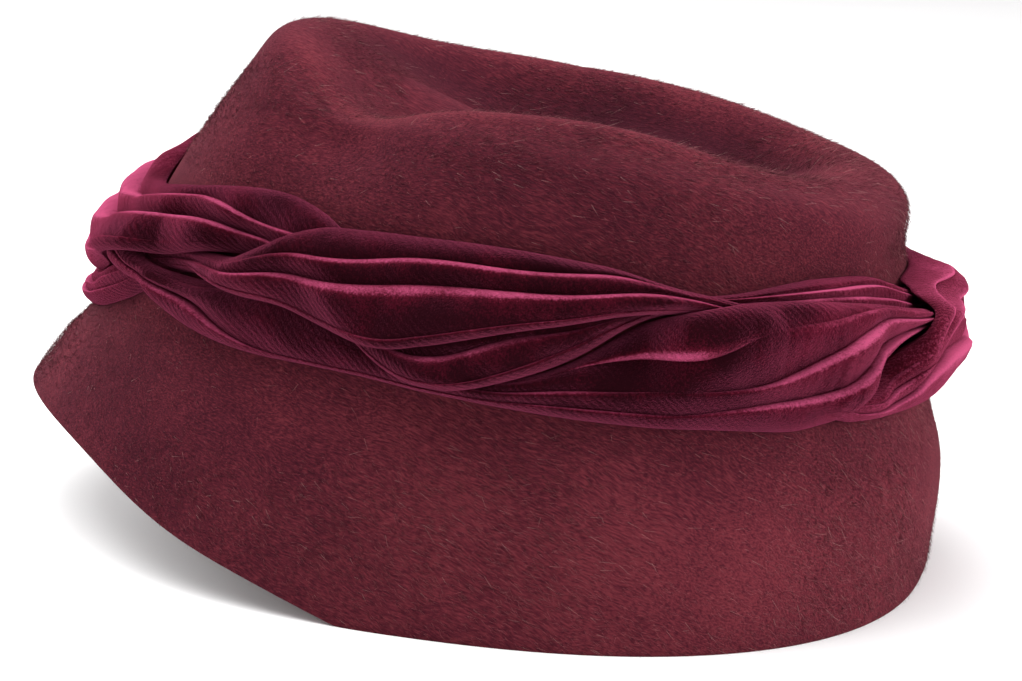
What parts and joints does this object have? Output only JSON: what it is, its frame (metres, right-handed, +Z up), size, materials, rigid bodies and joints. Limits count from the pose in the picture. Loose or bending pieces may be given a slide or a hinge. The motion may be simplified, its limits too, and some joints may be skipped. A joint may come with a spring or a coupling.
{
  "type": "felt hat",
  "caption": "Wide-cut felt hat with a lengthwise dent in the crown, pinched sides, a deep turned-down brim and a loosely plaited velvet band",
  "frame": {"origin": "middle of the hat's box, on the surface that the brim rests on", "axes": "+Z up out of the crown, -Y the hat's front, +X the wearer's left"},
  "size_m": [0.2044, 0.2517, 0.1306],
  "materials": {
    "felt": "brushed wool nap",
    "velvet": "soft crimson pile"
  },
  "bodies": {
    "root": {"felt_hood": "felt", "velvet_strand_1": "velvet", "velvet_strand_2": "velvet", "velvet_strand_3": "velvet"}
  },
  "joints": []
}
